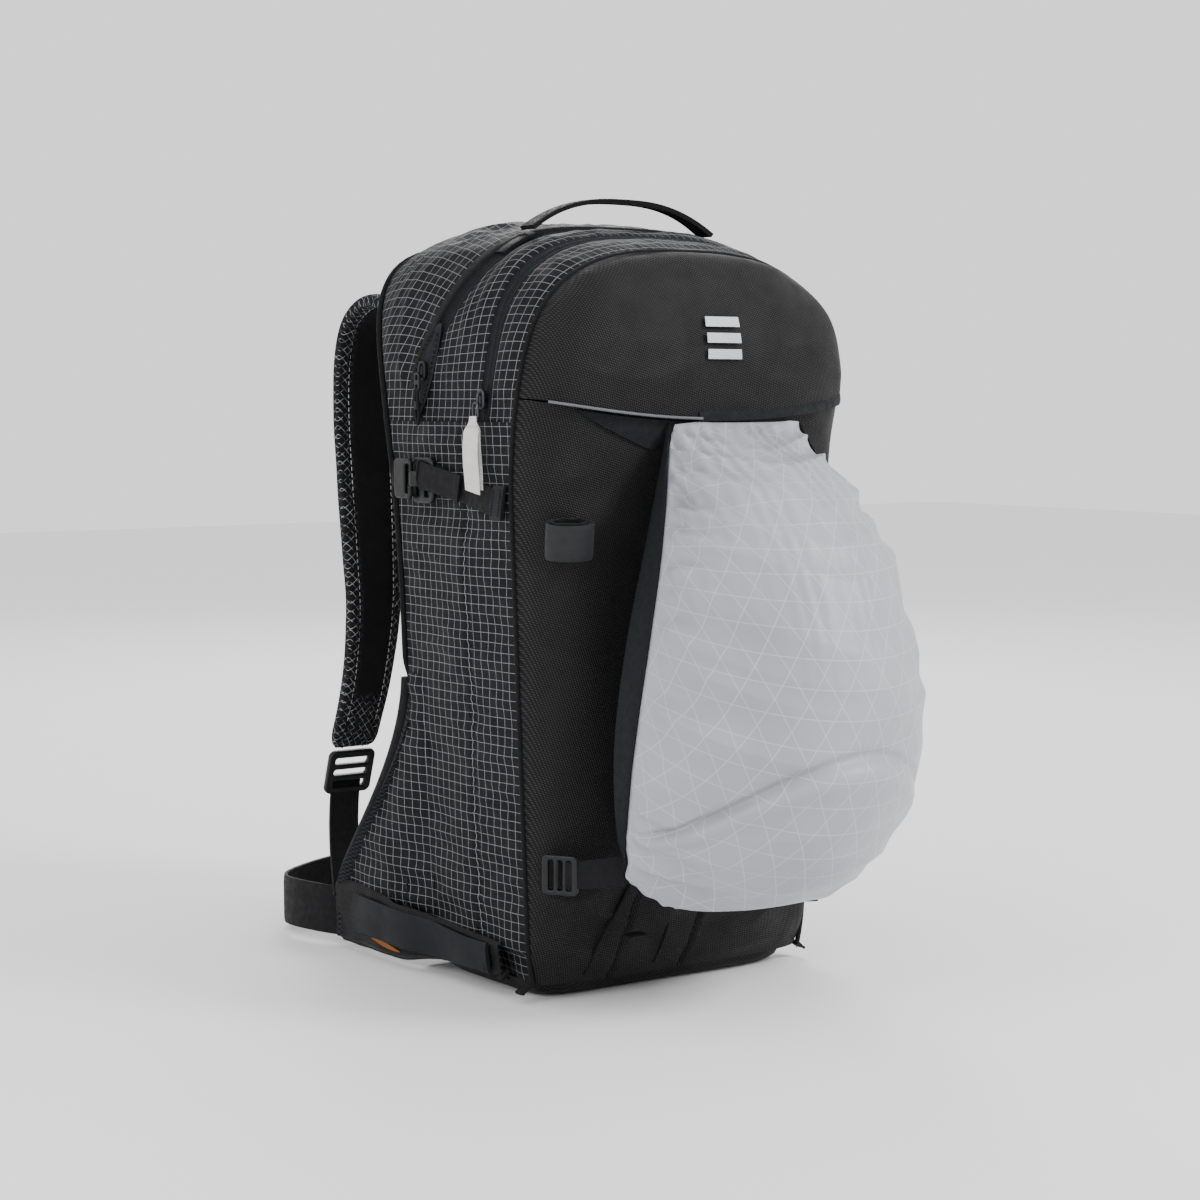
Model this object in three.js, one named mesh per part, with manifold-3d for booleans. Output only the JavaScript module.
// Avalanche airbag backpack, about 25 litres, with a helmet sling on its outer face.
// Millimetres, +Z up. The outer face looks along -Y, the wearer's back is on the +Y side.
// The origin is at the centre of the base panel's flat underside.
import * as THREE from 'three';
import { mergeVertices, mergeGeometries } from 'three/addons/utils/BufferGeometryUtils.js';
import { RoundedBoxGeometry } from 'three/addons/geometries/RoundedBoxGeometry.js';
import Module from 'manifold-3d';

const wasm = await Module();
wasm.setup();

// ---- Driving dimensions ----
const gap = 0.4; // clearance between neighbouring pieces
const pipingGap = 2.6; // the front seam's piping fills this
const cloth = 3; // thickness of a lined fabric panel
const webbing = 2.4; // thickness of webbing

const baseHalfWidth = 126;
const chestHalfWidth = 143;
const archStart = 415; // the side walls are straight up to here and arch over above it
const frontCrown = 537; // height of the arch at the front seam
const midCrown = 562; // height of the arch at its highest
const backCrown = 548; // height of the arch at the back edge
const highestAt = 0.47; // share of the depth where the arch is highest

const lowSeamY = -71; // front seam on the lower pack
const highSeamY = -87; // front seam beside the brow
const backFlatY = 77; // back edge over the lower pack
const backLean = 43; // how far the shoulders stand behind the lower back
const lumbarZ = 270; // the back leans away above here

const lowBulge = 40; // how far the lower front panel domes forward
const browBulge = 47; // how far the upper front panel domes forward
const hemSideZ = 432;
const hemDip = 14;

const backPad = 10; // back panel thickness
const wingRoom = 10; // how much narrower the back panel is between the hip wings
const zipWidth = 13;
const frontZipSetback = 39; // from the front seam back to the front pocket's zipper
const strapWidth = 55;
const strapInnerX = 71;
const strapPad = 12;
const hipBandHeight = 40;

// ---- Small mathematics ----
const lerp = THREE.MathUtils.lerp;
const clamp01 = (t) => THREE.MathUtils.clamp(t, 0, 1);
const smooth = (from, to, t) => THREE.MathUtils.smoothstep(t, from, to);
const vec = (x, y, z) => new THREE.Vector3(x, y, z);
const sides = [['left', -1], ['right', 1]];

// ---- Outer form of the pack ----
const seamY = (z) => lerp(lowSeamY, highSeamY, smooth(360, 480, z));
const backY = (z) => backFlatY + backLean * Math.max((z - lumbarZ) / lumbarZ, 0) ** 2;
const halfWidth = (z) => lerp(baseHalfWidth, chestHalfWidth, clamp01(z / archStart));
const depthY = (z, s) => lerp(seamY(z), backY(z), s);

function crown(s) {
  const rise = (midCrown - frontCrown - (backCrown - frontCrown) * highestAt ** 2)
    / (highestAt - highestAt ** 2);
  return frontCrown + rise * s + (backCrown - frontCrown - rise) * s * s;
}

// The arch over the top: a goes from 0 at the left wall to pi at the right, s from front to back.
function archPoint(a, s) {
  const power = 2 / lerp(2.8, 4, s);
  const across = Math.sign(Math.cos(a)) * Math.abs(Math.cos(a)) ** power;
  const z = archStart + (crown(s) - archStart) * Math.sin(a) ** power;
  return vec(-chestHalfWidth * across, depthY(z, s), z);
}

const wallPoint = (side, z, s) => vec(side * halfWidth(z), depthY(z, s), z);

// Half width of the front seam's outline at height z, straight wall and arch together.
function seamHalfWidth(z) {
  if (z <= archStart) return halfWidth(z);
  const rise = clamp01((z - archStart) / (frontCrown - archStart));
  return chestHalfWidth * (1 - rise ** 2.8) ** (1 / 2.8);
}

const domeShape = (u) => Math.sqrt(1 - u ** 4);
const hemZ = (u) => hemSideZ - hemDip * (1 - u * u);

function lowerFrontPoint(u, z) {
  const bulge = lerp(16, lowBulge, smooth(0, 150, z));
  return vec(u * seamHalfWidth(z), seamY(z) - bulge * domeShape(u), z);
}

function browPoint(u, v) {
  const rise = Math.sin(v * Math.PI / 2) ** (2 / 2.8);
  const z = lerp(hemZ(u), frontCrown, rise);
  const bulge = browBulge * (1 - rise ** 2.2) ** 0.5;
  return vec(u * seamHalfWidth(z), seamY(z) - bulge * domeShape(u), z);
}

// ---- Solids ----
function signedVolume(geometry) {
  const p = geometry.getAttribute('position');
  const index = geometry.index.array;
  const [a, b, c] = [vec(), vec(), vec()];
  let volume = 0;
  for (let i = 0; i < index.length; i += 3) {
    a.fromBufferAttribute(p, index[i]);
    b.fromBufferAttribute(p, index[i + 1]);
    c.fromBufferAttribute(p, index[i + 2]);
    volume += a.dot(b.cross(c)) / 6;
  }
  return volume;
}

// Welds a geometry's shared points and turns its faces outward.
function welded(geometry) {
  const plain = geometry.clone();
  for (const name of Object.keys(plain.attributes)) {
    if (name !== 'position') plain.deleteAttribute(name);
  }
  const merged = mergeVertices(plain, 1e-3);
  const old = merged.index.array;
  const kept = [];
  for (let i = 0; i < old.length; i += 3) {
    const [a, b, c] = [old[i], old[i + 1], old[i + 2]];
    if (a !== b && b !== c && c !== a) kept.push(a, b, c);
  }
  merged.setIndex(kept);
  if (signedVolume(merged) < 0) merged.setIndex(kept.reverse());
  return merged;
}

// A closed sheet of the given thickness: surface(u, v) is its outer face for u and v from 0 to 1.
function sheet(surface, uSteps, vSteps, thickness, inward = 1) {
  const step = 1e-3;
  const positions = [];
  const index = [];
  const rowLength = uSteps + 1;
  const layer = rowLength * (vSteps + 1);
  const normalAt = (u, v) => {
    const du = surface(Math.min(u + step, 1), v).sub(surface(Math.max(u - step, 0), v));
    const dv = surface(u, Math.min(v + step, 1)).sub(surface(u, Math.max(v - step, 0)));
    return du.cross(dv).normalize();
  };
  for (const offset of [0, thickness * inward]) {
    for (let j = 0; j <= vSteps; j += 1) {
      for (let i = 0; i <= uSteps; i += 1) {
        const [u, v] = [i / uSteps, j / vSteps];
        positions.push(...surface(u, v).addScaledVector(normalAt(u, v), offset).toArray());
      }
    }
  }
  const quad = (a, b, c, d) => index.push(a, b, c, a, c, d);
  const at = (i, j, k) => k * layer + j * rowLength + i;
  for (let j = 0; j < vSteps; j += 1) {
    for (let i = 0; i < uSteps; i += 1) {
      quad(at(i, j, 0), at(i + 1, j, 0), at(i + 1, j + 1, 0), at(i, j + 1, 0));
      quad(at(i, j, 1), at(i, j + 1, 1), at(i + 1, j + 1, 1), at(i + 1, j, 1));
    }
    quad(at(0, j, 0), at(0, j + 1, 0), at(0, j + 1, 1), at(0, j, 1));
    quad(at(uSteps, j, 0), at(uSteps, j, 1), at(uSteps, j + 1, 1), at(uSteps, j + 1, 0));
  }
  for (let i = 0; i < uSteps; i += 1) {
    quad(at(i, 0, 0), at(i, 0, 1), at(i + 1, 0, 1), at(i + 1, 0, 0));
    quad(at(i, vSteps, 0), at(i + 1, vSteps, 0), at(i + 1, vSteps, 1), at(i, vSteps, 1));
  }
  const geometry = new THREE.BufferGeometry();
  geometry.setAttribute('position', new THREE.Float32BufferAttribute(positions, 3));
  geometry.setIndex(index);
  return welded(geometry);
}

function toManifold(geometry) {
  const plain = welded(geometry);
  return new wasm.Manifold(new wasm.Mesh({
    numProp: 3,
    vertProperties: new Float32Array(plain.getAttribute('position').array),
    triVerts: new Uint32Array(plain.index.array),
  }));
}

function toGeometry(solid) {
  const mesh = solid.getMesh();
  const geometry = new THREE.BufferGeometry();
  geometry.setAttribute('position', new THREE.Float32BufferAttribute(mesh.vertProperties, 3));
  geometry.setIndex(Array.from(mesh.triVerts));
  return geometry;
}

const joined = (first, ...rest) => toGeometry(
  rest.reduce((solid, next) => solid.add(toManifold(next)), toManifold(first)),
);
const without = (first, ...rest) => toGeometry(
  rest.reduce((solid, next) => solid.subtract(toManifold(next)), toManifold(first)),
);

const block = (x, y, z) => new THREE.BoxGeometry(x, y, z);
const pad = (x, y, z, radius) => new RoundedBoxGeometry(x, y, z, 2, radius);

function roundedOutline(width, height, radius, target = new THREE.Shape()) {
  const [x, y] = [width / 2, height / 2];
  target.moveTo(-x + radius, -y);
  target.lineTo(x - radius, -y);
  target.absarc(x - radius, -y + radius, radius, -Math.PI / 2, 0);
  target.lineTo(x, y - radius);
  target.absarc(x - radius, y - radius, radius, 0, Math.PI / 2);
  target.lineTo(-x + radius, y);
  target.absarc(-x + radius, y - radius, radius, Math.PI / 2, Math.PI);
  target.lineTo(-x, -y + radius);
  target.absarc(-x + radius, -y + radius, radius, Math.PI, Math.PI * 1.5);
  return target;
}

// A flat plate in its own XY plane, centred, with rounded corners and rectangular slots.
function plate(width, height, thickness, radius, slots = []) {
  const shape = roundedOutline(width, height, radius);
  for (const [x, y, w, h] of slots) {
    const hole = new THREE.Path();
    hole.moveTo(x - w / 2, y - h / 2);
    hole.lineTo(x - w / 2, y + h / 2);
    hole.lineTo(x + w / 2, y + h / 2);
    hole.lineTo(x + w / 2, y - h / 2);
    shape.holes.push(hole);
  }
  const geometry = new THREE.ExtrudeGeometry(shape, {
    depth: thickness, bevelEnabled: false, curveSegments: 4,
  });
  return geometry.translate(0, 0, -thickness / 2);
}

// A ring about Y with a square section.
function ringAboutY(inner, outer, length, segments = 32) {
  const profile = [
    new THREE.Vector2(inner, 0), new THREE.Vector2(outer, 0),
    new THREE.Vector2(outer, length), new THREE.Vector2(inner, length),
    new THREE.Vector2(inner, 0),
  ];
  return new THREE.LatheGeometry(profile, segments);
}

// ---- Materials ----
const finish = (color, roughness, metalness = 0) => new THREE.MeshStandardMaterial({
  color, roughness, metalness,
});
const ripstop = finish('#23282f', 0.75);
const ballistic = finish('#262526', 0.8);
const slateTape = finish('#272e33', 0.7);
const blackWebbing = finish('#1b1b1d', 0.7);
const slingCloth = finish('#b4b7bd', 0.45);
const foamMesh = finish('#202124', 0.95);
const acetal = finish('#17181a', 0.45);
const keeperRubber = finish('#3c4246', 0.6);
const pullTab = finish('#c8c3be', 0.8);
const steel = finish('#8d9196', 0.35, 0.9);
const aluminium = finish('#a9adb2', 0.4, 0.9);
const boardPlastic = finish('#2c2f33', 0.6);
const airbagCloth = finish('#d2502a', 0.6);
const unitPlastic = finish('#33373b', 0.5);
const triggerPlastic = finish('#c8552a', 0.5);

const group = new THREE.Group();

function place(name, geometry, material, parent = group) {
  const mesh = new THREE.Mesh(welded(geometry), material);
  mesh.name = name;
  parent.add(mesh);
  return mesh;
}

// ---- Pack shell ----
const wallFloorZ = 12;
const wallTopZ = archStart - gap;
const zipLine = {
  front: (z) => frontZipSetback / (backY(z) - seamY(z)),
  main: (z) => lerp(0.77, 0.36, smooth(archStart - 15, midCrown, z)),
};
const zipHalf = (z) => zipWidth / 2 / (backY(z) - seamY(z));

function addSidePanels() {
  for (const [name, side] of sides) {
    const surface = (u, v) => wallPoint(side, lerp(wallFloorZ, wallTopZ, u), lerp(pipingGap / 150, 1, v));
    place(`side_panel_${name}`, sheet(surface, 10, 4, cloth, side), ripstop);
  }
}

// A strip of the arch between two depth lines, each a share of the depth at a height.
function archStrip(from, to) {
  const surface = (u, v) => {
    const a = u * Math.PI;
    const middle = archPoint(a, 0.5);
    return archPoint(a, lerp(from(middle.z), to(middle.z), v));
  };
  return sheet(surface, 28, 2, cloth, -1);
}

function addTopGusset() {
  const clearance = (z) => gap / (backY(z) - seamY(z));
  const edge = (line, side) => (z) => zipLine[line](z) + side * (zipHalf(z) + clearance(z));
  const tape = (line, side) => (z) => zipLine[line](z) + side * zipHalf(z);
  place('top_gusset_front', archStrip(() => pipingGap / 150, edge('front', -1)), ripstop);
  place('front_zipper_tape', archStrip(tape('front', -1), tape('front', 1)), slateTape);
  place('top_gusset_middle', archStrip(edge('front', 1), edge('main', -1)), ripstop);
  place('main_zipper_tape', archStrip(tape('main', -1), tape('main', 1)), slateTape);
  place('top_gusset_rear', archStrip(edge('main', 1), () => 1), ripstop);
}

function addFrontPanels() {
  const lower = (u, v) => {
    const across = lerp(-1, 1, u);
    return lowerFrontPoint(across, lerp(wallFloorZ, hemZ(across) - 4, v));
  };
  place('front_panel_lower', sheet(lower, 16, 12, cloth, -1), ballistic);
  const upper = (u, v) => browPoint(lerp(-1, 1, u), v * 0.97);
  place('front_panel_upper', sheet(upper, 16, 10, cloth, -1), ballistic);
}

function addBasePanel() {
  const shape = new THREE.Shape();
  const [front, back, half] = [lowSeamY - 12, backFlatY - 2, baseHalfWidth - 1];
  shape.moveTo(-half, back);
  shape.lineTo(-half, lowSeamY + 6);
  shape.quadraticCurveTo(-half + 4, front + 2, -half + 34, front);
  shape.lineTo(half - 34, front);
  shape.quadraticCurveTo(half - 4, front + 2, half, lowSeamY + 6);
  shape.lineTo(half, back);
  const geometry = new THREE.ExtrudeGeometry(shape, {
    depth: wallFloorZ - gap, bevelEnabled: false, curveSegments: 6,
  });
  place('base_panel', geometry, ballistic);
}

// ---- Back panel, frame sheet and stay ----
// A plate that follows the lean of the back, from y = backY + offset outward.
function backPlate(halfAcross, lowZ, highZ, offset, thickness, steps) {
  const surface = (u, v) => {
    const z = lerp(lowZ, highZ, v);
    return vec(lerp(-1, 1, u) * halfAcross(z), backY(z) + offset, z);
  };
  return sheet(surface, 6, steps, thickness, -1);
}

function addBack() {
  const panelTop = backCrown - 2;
  const outline = (z) => {
    const rise = clamp01((z - archStart) / (backCrown - archStart));
    const full = z <= archStart ? halfWidth(z) : chestHalfWidth * (1 - rise ** 4) ** 0.25;
    return full - 1 - wingRoom * (1 - smooth(198, 240, z));
  };
  const panel = backPlate(outline, 4, panelTop, gap + 0.6, backPad, 18);
  place('back_panel', panel, foamMesh);
  const sheetBoard = backPlate(() => 104, 24, 500, -5, 2.5, 12);
  place('frame_sheet', sheetBoard, boardPlastic);
  const stay = backPlate(() => 11, 40, 488, -8.5, 3, 12);
  place('frame_stay', stay, aluminium);
}

// ---- Airbag system inside the rear compartment ----
const dividerY = -8;
const fanCentre = vec(0, 24, 372);
const fanRadius = 46;
const fanLength = 44;

function addDivider() {
  const divider = pad(236, 2.4, 478, 1).translate(0, dividerY, 258);
  place('divider_panel', divider, ripstop);
}

function impellerGeometry() {
  const blades = 9;
  const [hub, tip, bore] = [14, fanRadius - 8, 4.2];
  const shape = new THREE.Shape();
  for (let k = 0; k < blades; k += 1) {
    const start = k * 2 * Math.PI / blades;
    const outline = [[hub, 0], [tip, 0.34], [tip, 0.44], [hub, 0.22]];
    for (const [radius, turn] of outline) {
      const [x, y] = [radius * Math.cos(start + turn), radius * Math.sin(start + turn)];
      if (k === 0 && turn === 0) shape.moveTo(x, y);
      else shape.lineTo(x, y);
    }
  }
  const hole = new THREE.Path();
  hole.absarc(0, 0, bore, 0, 2 * Math.PI);
  shape.holes.push(hole);
  return new THREE.ExtrudeGeometry(shape, { depth: 14, bevelEnabled: false, curveSegments: 8 });
}

function addAirbagSystem() {
  const { x, y, z } = fanCentre;
  const housing = without(
    joined(
      ringAboutY(fanRadius - 3, fanRadius, fanLength),
      new THREE.CylinderGeometry(fanRadius - 1, fanRadius - 1, 2.4, 32).translate(0, 1.2, 0),
      block(30, 30, 22).translate(0, fanLength / 2, fanRadius + 4),
    ),
    block(24, 24, 60).translate(0, fanLength / 2, fanRadius),
    new THREE.CylinderGeometry(10, 10, 10, 24),
  );
  housing.translate(x, y - fanLength / 2, z);
  place('fan_housing', housing, unitPlastic);
  const motorShaft = joined(
    new THREE.CylinderGeometry(15, 15, 20, 24).translate(0, 32, 0),
    new THREE.CylinderGeometry(3.8, 3.8, 30, 16).translate(0, 20, 0),
  );
  place('fan_motor', motorShaft.translate(x, y - fanLength / 2, z), steel);
  const impeller = impellerGeometry().rotateX(-Math.PI / 2);
  place('impeller', impeller.translate(x, y - fanLength / 2 + 6, z), acetal);
  const ductOuter = block(23, 23, 20);
  const duct = without(ductOuter, block(18, 18, 24)).translate(x, y, z + fanRadius + 9);
  place('air_duct', duct, acetal);
  place('folded_airbag', pad(206, 62, 78, 14).translate(0, 30, 482), airbagCloth);
  place('battery_pack', pad(84, 34, 120, 6).translate(-54, 26, 226), unitPlastic);
  const unit = without(
    pad(64, 30, 92, 5).translate(56, 26, 232),
    new THREE.CylinderGeometry(7, 7, 13, 24).translate(56, 11, 258),
  );
  place('control_unit', unit, unitPlastic);
  const button = new THREE.CylinderGeometry(6.4, 6.4, 6, 24).translate(56, 11.5, 258);
  place('power_button', button, triggerPlastic);
}

// ---- Haul handle ----
const handleFootX = 84;
const handleY = -6;
const handleFootZ = 557;

function addHaulHandle() {
  const rise = 25;
  const surface = (u, v) => {
    const t = lerp(-1, 1, v);
    const z = handleFootZ + rise * (1 - Math.abs(t) ** 2.6);
    return vec(handleFootX * t, handleY + lerp(-9, 9, u), z);
  };
  place('haul_handle', sheet(surface, 1, 20, 2.6, 1), blackWebbing);
}

// ---- Zipper sliders and pulls on the left wall ----
const sliderStandOff = 1.5;

// Where the left wall is, above the start of the arch.
function archWall(z, s) {
  const power = lerp(2.8, 4, s);
  const rise = (z - archStart) / (crown(s) - archStart);
  return vec(-chestHalfWidth * (1 - rise ** power) ** (1 / power), depthY(z, s), z);
}

function wallSlider(name, line, z, material) {
  const point = archWall(z, zipLine[line](z));
  const body = joined(
    block(3.4, 9, 14),
    block(2.4, 3, 9).translate(-2.4, 0, 0),
  );
  const x = point.x - sliderStandOff - 1.7;
  place(name, body.translate(x, point.y, z), material);
  return vec(x - 3.6, point.y, z);
}

function addZipperPulls() {
  const main = wallSlider('main_zipper_slider', 'main', 452, acetal);
  const cordPull = joined(
    plate(8, 9, 1.8, 3.4, [[0, 0, 3.4, 4]]),
    plate(5.5, 32, 2.4, 2.5).translate(0, -19.4, 0),
  );
  cordPull.rotateX(Math.PI / 2).rotateZ(Math.PI / 2);
  place('main_zipper_pull', cordPull.translate(main.x - 1.4, main.y, main.z - 6), blackWebbing);
  const front = wallSlider('front_zipper_slider', 'front', 431, steel);
  const ring = plate(9, 13, 1.8, 4.2, [[0, 0, 5.4, 8.4]]).rotateX(Math.PI / 2).rotateZ(Math.PI / 2);
  place('front_zipper_ring', ring.translate(front.x - 1.4, front.y, front.z - 8), steel);
  const tab = plate(11, 50, 2.2, 1.5).rotateX(Math.PI / 2).rotateZ(Math.PI / 2);
  place('front_zipper_tab', tab.translate(front.x - 1.4, front.y, front.z - 40), pullTab);
}

// ---- Side compression straps: hook at the back edge, buckle and sewn tab in front ----
const sideStrapZ = 372;
const strapEndY = 12;
const strapSlope = 0.22; // it runs down towards the front

function addSideStraps() {
  for (const [name, side] of sides) {
    const x = (depth) => side * (halfWidth(sideStrapZ) + depth);
    const tabY = -34;
    const strap = joined(
      block(webbing, 66, 20).translate(0, tabY + 12 - strapEndY, 0),
      block(2.2, 14, 24).translate(0, tabY - 22 - strapEndY, 0),
    );
    strap.rotateX(strapSlope).translate(x(1.7 + gap), strapEndY, sideStrapZ);
    place(`side_strap_${name}`, strap, blackWebbing);
    const buckle = plate(30, 34, 4, 4, [[-8, 0, 6, 23], [6.5, 0, 10, 24]]);
    buckle.rotateX(Math.PI / 2).rotateZ(Math.PI / 2);
    place(`side_buckle_${name}`, buckle.translate(x(5.8), 32, sideStrapZ), acetal);
    const hook = joined(
      plate(24, 30, 3.6, 3, [[6, 0, 6, 22]]),
      block(4, 20, 7).translate(-10, 0, -2.8),
    );
    hook.rotateX(Math.PI / 2).rotateZ(Math.PI / 2);
    if (side > 0) hook.rotateZ(Math.PI);
    place(`side_hook_${name}`, hook.translate(x(9.4 + 1.4), 52, sideStrapZ + 1), acetal);
  }
}

// ---- Tool-strap keeper: a rolled strap loop on the lower front panel ----
const keeper = { x: -117, z: 334, width: 36, height: 28, depth: 17 };

function addToolKeeper() {
  const y = seamY(keeper.z) - lowBulge * domeShape(keeper.x / halfWidth(keeper.z));
  const loop = roundedOutline(keeper.width, keeper.depth, 7);
  loop.holes.push(roundedOutline(keeper.width - 7, keeper.depth - 7, 4.5, new THREE.Path()));
  const geometry = new THREE.ExtrudeGeometry(loop, {
    depth: keeper.height, bevelEnabled: false, curveSegments: 5,
  });
  const tilt = 0.5; // the panel turns away from straight ahead here
  geometry.translate(0, 0, -keeper.height / 2).rotateZ(-tilt);
  place('tool_strap_keeper', geometry.translate(keeper.x - 5, y - 16, keeper.z), keeperRubber);
}

// ---- Helmet sling, filled as if a helmet were in it ----
const slingTop = 413;
const slingCurves = {
  edge: new THREE.CatmullRomCurve3([
    vec(59, -121, slingTop), vec(86, -146, 340), vec(108, -158, 262),
    vec(116, -160, 196), vec(109, -154, 140), vec(93, -146, 108),
  ]),
  middle: new THREE.CatmullRomCurve3([
    vec(0, -124, slingTop), vec(0, -224, 362), vec(0, -280, 262), vec(0, -284, 180),
    vec(0, -252, 112), vec(0, -196, 76), vec(0, -142, 78),
  ]),
};
const bindingShare = 0.06;
const slingShift = 20; // its top is pulled over to one side

function slingPoint(across, down) {
  const edge = slingCurves.edge.getPoint(down);
  const middle = slingCurves.middle.getPoint(down);
  const turn = across * Math.PI / 2;
  const toMiddle = Math.cos(turn) ** 0.9;
  return vec(
    edge.x * Math.sin(turn) + slingShift * (1 - down) ** 3,
    lerp(edge.y, middle.y, toMiddle),
    lerp(edge.z, middle.z, toMiddle),
  );
}

function addSling() {
  const limit = 1 - bindingShare;
  const body = (u, v) => slingPoint(lerp(-limit, limit, u), v);
  place('helmet_sling', sheet(body, 20, 18, 2, -1), slingCloth);
  for (const [name, side] of sides) {
    const strip = (u, v) => slingPoint(side * lerp(limit + 0.008, 1, u), v);
    place(`sling_binding_${name}`, sheet(strip, 1, 18, 3, -side), slateTape);
  }
}

function addSlingStraps() {
  for (const [name, side] of sides) {
    const path = (u, v) => {
      const z = lerp(88, 108, u);
      const y = lerp(-102, -136, v);
      return vec(side * lerp(118, 96, v), y, z);
    };
    place(`sling_strap_${name}`, sheet(path, 1, 3, webbing, side), blackWebbing);
    const ladder = plate(26, 30, 4, 4, [[-5, 0, 4, 21], [5, 0, 4, 23]]);
    ladder.rotateX(Math.PI / 2).rotateZ(side);
    place(`sling_buckle_${name}`, ladder.translate(side * 122.8, -105.2, 98), acetal);
  }
}

// ---- Harness: shoulder straps, ladder locks, sternum strap and airbag trigger ----
const strapPath = new THREE.CatmullRomCurve3([
  vec(0, 124, 496), vec(0, 154, 500), vec(0, 179, 486), vec(0, 188, 458), vec(0, 188, 420),
  vec(0, 182, 370), vec(0, 175, 310), vec(0, 172, 262), vec(0, 182, 206), vec(0, 204, 150),
]);
const strapMiddleX = strapInnerX + strapWidth / 2;
const strapSplay = 10; // the straps lean outward towards their lower ends
const strapEndWidth = 40;
const lockZ = 132;
const lockY = 214;

function addShoulderStraps() {
  for (const [name, side] of sides) {
    const surface = (u, v) => {
      const p = strapPath.getPoint(v);
      const width = lerp(strapWidth, strapEndWidth, smooth(0.5, 1, v));
      return vec(side * (strapMiddleX + strapSplay * v) + lerp(-0.5, 0.5, u) * width, p.y, p.z);
    };
    place(`shoulder_strap_${name}`, sheet(surface, 2, 26, strapPad, 1), foamMesh);
    const lock = plate(42, 38, 4.4, 5, [[0, 9, 30, 6], [0, -5, 30, 6]]);
    lock.rotateX(Math.PI / 2 - 0.32);
    const lockX = side * (strapMiddleX + strapSplay);
    place(`shoulder_buckle_${name}`, lock.translate(lockX, lockY, lockZ), acetal);
    const down = (u, v) => vec(
      lockX + side * 16 * v + lerp(-12, 12, u),
      lerp(lockY + 6, lockY - 8, v) + 3 * Math.sin(v * Math.PI),
      lerp(lockZ - 22, 50, v),
    );
    place(`shoulder_webbing_${name}`, sheet(down, 1, 8, webbing, 1), blackWebbing);
  }
}

const sternum = { z: 392, y: 188, width: 20 };

function addSternumStrap() {
  const reach = strapInnerX - gap;
  const { y, z, width } = sternum;
  const strapLength = reach - 24;
  for (const [name, side] of sides) {
    const strap = block(strapLength, webbing, width);
    strap.translate(side * (reach - strapLength / 2), y, z);
    place(`sternum_strap_${name}`, strap, blackWebbing);
  }
  const socket = without(
    pad(26, 9, 26, 3).translate(-10, y, z),
    block(22, 5.4, 18).translate(-4, y, z),
    block(8, 3.4, 21).translate(-22, y, z),
  );
  place('sternum_buckle_female', socket, acetal);
  const prongs = joined(
    block(10, 7, 24).translate(9.4, y, z),
    block(17, 3.6, 4).translate(-4, y, z + 6),
    block(17, 3.6, 4).translate(-4, y, z - 6),
    block(17, 3.6, 3).translate(-4, y, z),
  );
  place('sternum_buckle_male', prongs, acetal);
}

function addTrigger() {
  const grip = joined(
    pad(22, 15, 74, 5),
    pad(30, 15, 12, 4).translate(0, 0, -33),
  );
  const y = strapPath.getPoint(0.47).y + strapPad + 9;
  place('trigger_handle', grip.translate(-strapMiddleX, y, 372), triggerPlastic);
}

// ---- Hip belt ----
const hipBuckle = { x: 31, y: 309, z: 26 };
const wing = { rootY: 79, tipY: 176, insideX: 125, thick: 13 };

function addHipBelt() {
  for (const [name, side] of sides) {
    const shape = new THREE.Shape();
    shape.moveTo(wing.rootY, 8);
    shape.lineTo(wing.tipY - 8, 6);
    shape.lineTo(wing.tipY, 14);
    shape.lineTo(wing.tipY, 52);
    shape.quadraticCurveTo(wing.rootY + 43, 92, wing.rootY, 196);
    const fin = new THREE.ExtrudeGeometry(shape, {
      depth: wing.thick, bevelEnabled: false, curveSegments: 8,
    });
    fin.rotateX(Math.PI / 2).rotateZ(Math.PI / 2);
    fin.translate(side > 0 ? wing.insideX : -wing.insideX - wing.thick, 0, 0);
    place(`hip_wing_${name}`, fin, ripstop);
    const beltEnd = 30;
    const belt = (u, v) => {
      const turn = v * Math.PI / 2 * 0.86;
      return vec(
        side * (132 + 34 * Math.sin(v * Math.PI) ** 0.8 - (132 - beltEnd) * (1 - Math.cos(turn))),
        wing.tipY + gap + 136 * Math.sin(turn),
        lerp(6, 6 + hipBandHeight, u),
      );
    };
    place(`hip_webbing_${name}`, sheet(belt, 1, 18, webbing, side), blackWebbing);
  }
  const { x, y, z } = hipBuckle;
  const socket = without(
    pad(38, 12, 48, 4).translate(-x, y, z),
    block(34, 7, 36).translate(-x + 6, y, z),
  );
  place('hip_buckle_female', socket, acetal);
  const prongs = joined(
    block(14, 9, 46).translate(x + 9, y, z),
    block(24, 4.4, 7).translate(x - 7, y, z + 12),
    block(24, 4.4, 7).translate(x - 7, y, z - 12),
    block(20, 4.4, 4).translate(x - 6, y, z),
  );
  place('hip_buckle_male', prongs, acetal);
}

addSidePanels();
addTopGusset();
addFrontPanels();
addBasePanel();
addBack();
addDivider();
addAirbagSystem();
addHaulHandle();
addZipperPulls();
addSideStraps();
addToolKeeper();
addSling();
addSlingStraps();
addShoulderStraps();
addSternumStrap();
addTrigger();
addHipBelt();

export default group;
